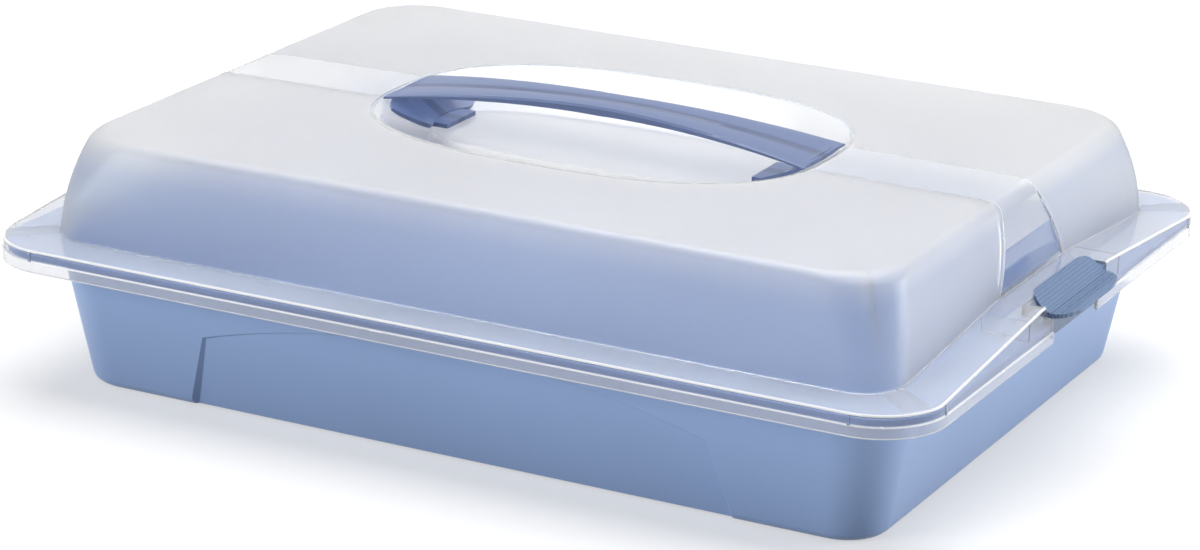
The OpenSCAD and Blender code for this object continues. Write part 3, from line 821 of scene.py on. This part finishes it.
def skirt_finish(x, y, z, ledge, upright):
    """The edges of the skirt and its bead are bright as a painted highlight, and the strip between them
    is clear, its upright outer faces tinted darker as painted shade
    """
    s = sizes()
    inset = rim_inset(x, y)
    below, above = BEAD_REACH
    # Painted highlight: the skirt's lower edge, the ledge's outer edge and the bead get the bright
    # finish.
    if z < SKIRT_LOW + above:
        return PAINTED_HIGHLIGHT
    if inset < s.band_inset + s.edge_radius and z > ledge - s.edge_radius:
        return PAINTED_HIGHLIGHT
    if inset < SKIN and s.bead - below < z < s.bead + above:
        return PAINTED_HIGHLIGHT
    if z < ledge - below and (inset > SKIN or z > s.bead):
        # Painted shade: the skirt's upright outer strip gets the darker tint.
        return SKIRT_SHADE if upright and inset < s.ledge_width / 2 else CLEAR
    return MILKY


def lid_finish(face):
    """The outer faces of the dome and roof are frosted. The band over the roof, the recess and the tops
    of the windows are polished, the ledge and skirt are milky, with the skirt's upright strip tinted
    darker as painted shade, the beads and edges are bright as a painted highlight, and the windows'
    feet, the recess's lip and the inside are clear."""
    s = sizes()
    x, y, z = (abs(value) for value in face.center)
    end = x > RIM_HALF_X - s.ledge_width - s.wall
    ledge = s.ledge + s.ramp_rise * ramp(y) * end
    if z < ledge + LEDGE_SLACK:
        return skirt_finish(x, y, z, ledge, abs(face.normal.z) < 0.5)
    oval = (x / s.recess_half_x) ** ROOF_POWER + (y / s.recess_half_y) ** ROOF_POWER
    if oval < RECESS_SIDE:
        return CLEAR if oval > RECESS_LIP and face.normal.z > 0 else POLISHED
    if face.normal.z < UNDERSIDE or face.normal.dot(face.center - INSIDE_POINT) < 0:
        return CLEAR
    u = (z - platform_height()) / (wall_top() - platform_height())
    wall_x = RIM_HALF_X - s.ledge_width - s.dome_lean * u * u
    # Painted highlight: the beads beside the windows get the bright finish.
    if x > END_WALL_X and abs(y - window_border(z)) < BEAD_WIDTH * s.bead_radius:
        return PAINTED_HIGHLIGHT
    window = y < s.band_half_foot and END_WALL_X < x < wall_x - WINDOW_FACE * s.window_depth
    if z > ROOF_TOP - s.crown - s.shoulder_radius and y < s.band_half_top:
        return POLISHED
    if window and z < wall_top() + WINDOW_FOOT:
        return CLEAR if z < s.window_change else POLISHED
    return FROSTED


# ---- The stage ------------------------------------------------------------------------

# The camera, fitted to the photograph: angles in degrees, lengths in metres
CAMERA_AZIMUTH, CAMERA_ELEVATION, CAMERA_ROLL = 27.344, 18.602, 1.2256
CAMERA_DISTANCE = 1.79127
CAMERA_AIM = (0, 0, 0.05)
CAMERA_ASIDE = (0.00346, 0.00611)     # offset of the aim from the optical axis, right and up
FOCAL_PIXELS = 3966.0            # focal length in pixels of the photograph, PHOTO_W wide
PHOTO_W = 1200
SENSOR = 36.0                    # in millimetres

# Name, place, aim, size in metres and power in watts
LAMPS = (
    ("lamp_top", (0.0, 0.35, 1.9), (0.0, 0.0, 0.0), 2.2, 56.0),
    ("lamp_right", (2.1, 1.3, 0.5), (0.0, 0.0, 0.05), 1.2, 42.0),
    ("lamp_left", (-2.9, -3.8, 1.35), (0.0, 0.0, 0.05), 2.2, 126.0),
)
WORLD_LIGHT, WORLD_SEEN = 0.17, 0.95    # strength of the world as light, and as it is seen
FLOOR_SIZE = 30                  # metres
FLOOR_SEEN = 0.48                # extra strength of the floor as it is seen
SPECKLE_SCALE = 60.0
SPECKLE = 0.01                   # share by which the floor's shade changes


def add_camera():
    az, el, roll = (math.radians(a) for a in (CAMERA_AZIMUTH, CAMERA_ELEVATION, CAMERA_ROLL))
    back = Vector((math.sin(az) * math.cos(el), -math.cos(az) * math.cos(el), math.sin(el)))
    level = Vector((math.cos(az), math.sin(az), 0))
    upright = back.cross(level)
    right = level * math.cos(roll) + upright * math.sin(roll)
    up = upright * math.cos(roll) - level * math.sin(roll)
    place = (Vector(CAMERA_AIM) - right * CAMERA_ASIDE[0] - up * CAMERA_ASIDE[1]
             + back * CAMERA_DISTANCE)
    data = bpy.data.cameras.new("camera")
    data.sensor_width = SENSOR
    data.lens = FOCAL_PIXELS / PHOTO_W * SENSOR
    camera = bpy.data.objects.new("camera", data)
    bpy.context.scene.collection.objects.link(camera)
    camera.matrix_world = Matrix.Translation(place) @ Matrix((right, up, back)).transposed().to_4x4()
    bpy.context.scene.camera = camera


def add_lamp(name, place, aim, size, power):
    data = bpy.data.lights.new(name, "AREA")
    data.shape = "SQUARE"
    data.size = size
    data.energy = power
    lamp = bpy.data.objects.new(name, data)
    bpy.context.scene.collection.objects.link(lamp)
    lamp.location = place
    lamp.rotation_euler = (Vector(aim) - Vector(place)).to_track_quat("-Z", "Y").to_euler()


def seen_rays(tree):
    """1 for rays from the camera, from gloss and through clear plastic, and 0 for light"""
    path = add(tree, "ShaderNodeLightPath")
    seen = maths(tree, "MAXIMUM", path.outputs["Is Camera Ray"], path.outputs["Is Glossy Ray"])
    return maths(tree, "MAXIMUM", seen, path.outputs["Is Transmission Ray"])


def add_floor():
    deselect()
    bpy.ops.mesh.primitive_plane_add(size=FLOOR_SIZE, location=(0, 0, 0))
    floor = bpy.context.object
    floor.name = "floor"
    material, tree, shader = new_material("floor")
    place_at = add(tree, "ShaderNodeTexCoord").outputs["Object"]
    speckle = add(tree, "ShaderNodeTexNoise", {"Vector": place_at, "Scale": SPECKLE_SCALE})
    shade = add(
        tree, "ShaderNodeMapRange",
        {"Value": speckle.outputs["Fac"], "To Min": 1 - SPECKLE, "To Max": 1 + SPECKLE},
    ).outputs[0]
    shaded_tint(tree, shader, colours().floor, shade)
    shader.inputs["Roughness"].default_value = 0.9
    shader.inputs["Specular IOR Level"].default_value = 0.0
    shader.inputs["Emission Color"].default_value = (1, 1, 1, 1)
    strength = maths(tree, "MULTIPLY", seen_rays(tree), FLOOR_SEEN)
    tree.links.new(strength, shader.inputs["Emission Strength"])
    floor.data.materials.append(material)


def add_world():
    world = bpy.data.worlds.new("world")
    bpy.context.scene.world = world
    world.use_nodes = True
    tree = world.node_tree
    background = tree.nodes["Background"]
    background.inputs["Color"].default_value = (1, 1, 1, 1)
    strength = add(
        tree, "ShaderNodeMapRange",
        {"Value": seen_rays(tree), "To Min": WORLD_LIGHT, "To Max": WORLD_SEEN},
    ).outputs[0]
    tree.links.new(strength, background.inputs["Strength"])


# ---- Operators ------------------------------------------------------------------------

TRAY_ROUNDING, HANDLE_ROUNDING, LATCH_ROUNDING = 0.0003, 0.0002, 0.0001    # of the edges
GROOVE_SHADE_HALF = 0.004              # half width of the groove along the handle, which is darkened as painted shade
RIDGE_PITCH = 0.0013             # pitch of the latches' fine ridges


class CARRIER_OT_stage(bpy.types.Operator):
    """Add the floor, the studio lights and the camera"""

    bl_idname = "carrier.stage"
    bl_label = "Stage"

    def execute(self, context):
        add_floor()
        add_world()
        for lamp in LAMPS:
            add_lamp(*lamp)
        add_camera()
        context.scene.view_settings.view_transform = "Standard"
        return {"FINISHED"}


class CARRIER_OT_tray(bpy.types.Operator):
    """Model the blue tray with its flange, arched panels and latch pins"""

    bl_idname = "carrier.tray"
    bl_label = "Tray"

    def execute(self, context):
        material = blue_plastic("tray_plastic", colours().tray_blue, 0.4, 0.5)
        tray = refined_copy("tray", "tray_moulding", TRAY_ROUNDING)
        finish_piece(tray, "tray", "tray", material)
        return {"FINISHED"}


class CARRIER_OT_lid(bpy.types.Operator):
    """Model the frosted lid with its skirt, recess, windows and stiffening ribs"""

    bl_idname = "carrier.lid"
    bl_label = "Lid"

    def execute(self, context):
        lid = lid_shell()
        lid.name = "lid_moulding"
        mark_band(lid)
        combine(lid, stiffeners() + corner_webs(), "UNION")
        combine(lid, latch_notches() + window_cuts() + prong_slots(), "DIFFERENCE")
        combine(lid, window_beads(), "UNION")
        activate(lid)
        bpy.ops.object.mode_set(mode="EDIT")
        bpy.ops.mesh.select_all(action="SELECT")
        bpy.ops.mesh.remove_doubles(threshold=MERGE_DISTANCE)
        bpy.ops.object.mode_set(mode="OBJECT")
        smooth_shade(lid, LID_SMOOTH)
        c = colours()
        # Name, tints, roughness, transmission, grain and marks, in the order of the finishes
        frosted, *others = (lid_plastic(*finish) for finish in (
            # The frosted finish carries painted shade at the walls' foot and painted light on the end
            # walls.
            ("frosted_plastic", (c.frost, c.wall_foot_painted_shade), 0.5, 0.72, 1.0, 0.06),
            ("milky_plastic", (c.milky,), 0.08, 0.78, 0.02, 0.05),
            ("clear_plastic", (c.clear,), 0.04, 0.94, 0.1, 0.05),
            ("polished_plastic", (c.polished,), 0.1, 0.65, 0.1, 0.05),
            # The bright edges are a painted highlight: whiter and less clear than the rest.
            ("painted_highlight_edges", (c.edges,), 0.25, 0.35, 0.1, 0.05),
            # The skirt's darker tint is painted shade.
            ("skirt_shaded_plastic", (c.skirt_painted_shade,), 0.05, 0.92, 0.02, 0.05),
        ))
        finish_piece(lid, "lid", "lid", frosted)
        for material in others:
            lid.data.materials.append(material)
        for face in lid.data.polygons:
            face.material_index = lid_finish(face)
        return {"FINISHED"}


class CARRIER_OT_handle(bpy.types.Operator):
    """Model the carrying handle that snaps into the lid's recess"""

    bl_idname = "carrier.handle"
    bl_label = "Handle"

    def execute(self, context):
        tint = colours().handle_blue
        material = blue_plastic("handle_plastic", tint, 0.32, 0.3, groove=GROOVE_SHADE_HALF)
        handle = refined_copy("handle", "carrying_handle", HANDLE_ROUNDING)
        handle.visible_shadow = False    # the clear recess below it stays bright
        finish_piece(handle, "lid", "handle", material)
        return {"FINISHED"}


class CARRIER_OT_latches(bpy.types.Operator):
    """Model the snap latches at the two short ends"""

    bl_idname = "carrier.latches"
    bl_label = "Latches"

    def execute(self, context):
        tint = colours().latch_blue
        material = blue_plastic("latch_plastic", tint, 0.3, 0.3, ridges=RIDGE_PITCH)
        for side in ("left", "right"):
            node = "latch_" + side
            latch = refined_copy(node, "snap_latch_" + side, LATCH_ROUNDING)
            finish_piece(latch, node, node, material)
        return {"FINISHED"}


class CARRIER_PT_panel(bpy.types.Panel):
    """Sizes, colours and build steps of the cake carrier"""

    bl_label = "Cake Carrier"
    bl_space_type = "VIEW_3D"
    bl_region_type = "UI"
    bl_category = "Carrier"

    def draw(self, context):
        for operator in OPERATORS:
            self.layout.operator(operator.bl_idname)
        for group in (context.scene.carrier_sizes, context.scene.carrier_colours):
            column = self.layout.column(align=True)
            for name in group.__annotations__:
                column.prop(group, name)


OPERATORS = (
    CARRIER_OT_stage, CARRIER_OT_tray, CARRIER_OT_lid, CARRIER_OT_handle, CARRIER_OT_latches,
)
CLASSES = (CarrierSizes, CarrierColours, *OPERATORS, CARRIER_PT_panel)


def register():
    for cls in CLASSES:
        bpy.utils.register_class(cls)
    bpy.types.Scene.carrier_sizes = PointerProperty(type=CarrierSizes)
    bpy.types.Scene.carrier_colours = PointerProperty(type=CarrierColours)


def unregister():
    del bpy.types.Scene.carrier_colours
    del bpy.types.Scene.carrier_sizes
    for cls in reversed(CLASSES):
        bpy.utils.unregister_class(cls)


def main():
    register()
    for operator in OPERATORS:
        group, name = operator.bl_idname.split(".")
        getattr(getattr(bpy.ops, group), name)()


if __name__ == "__main__":
    main()
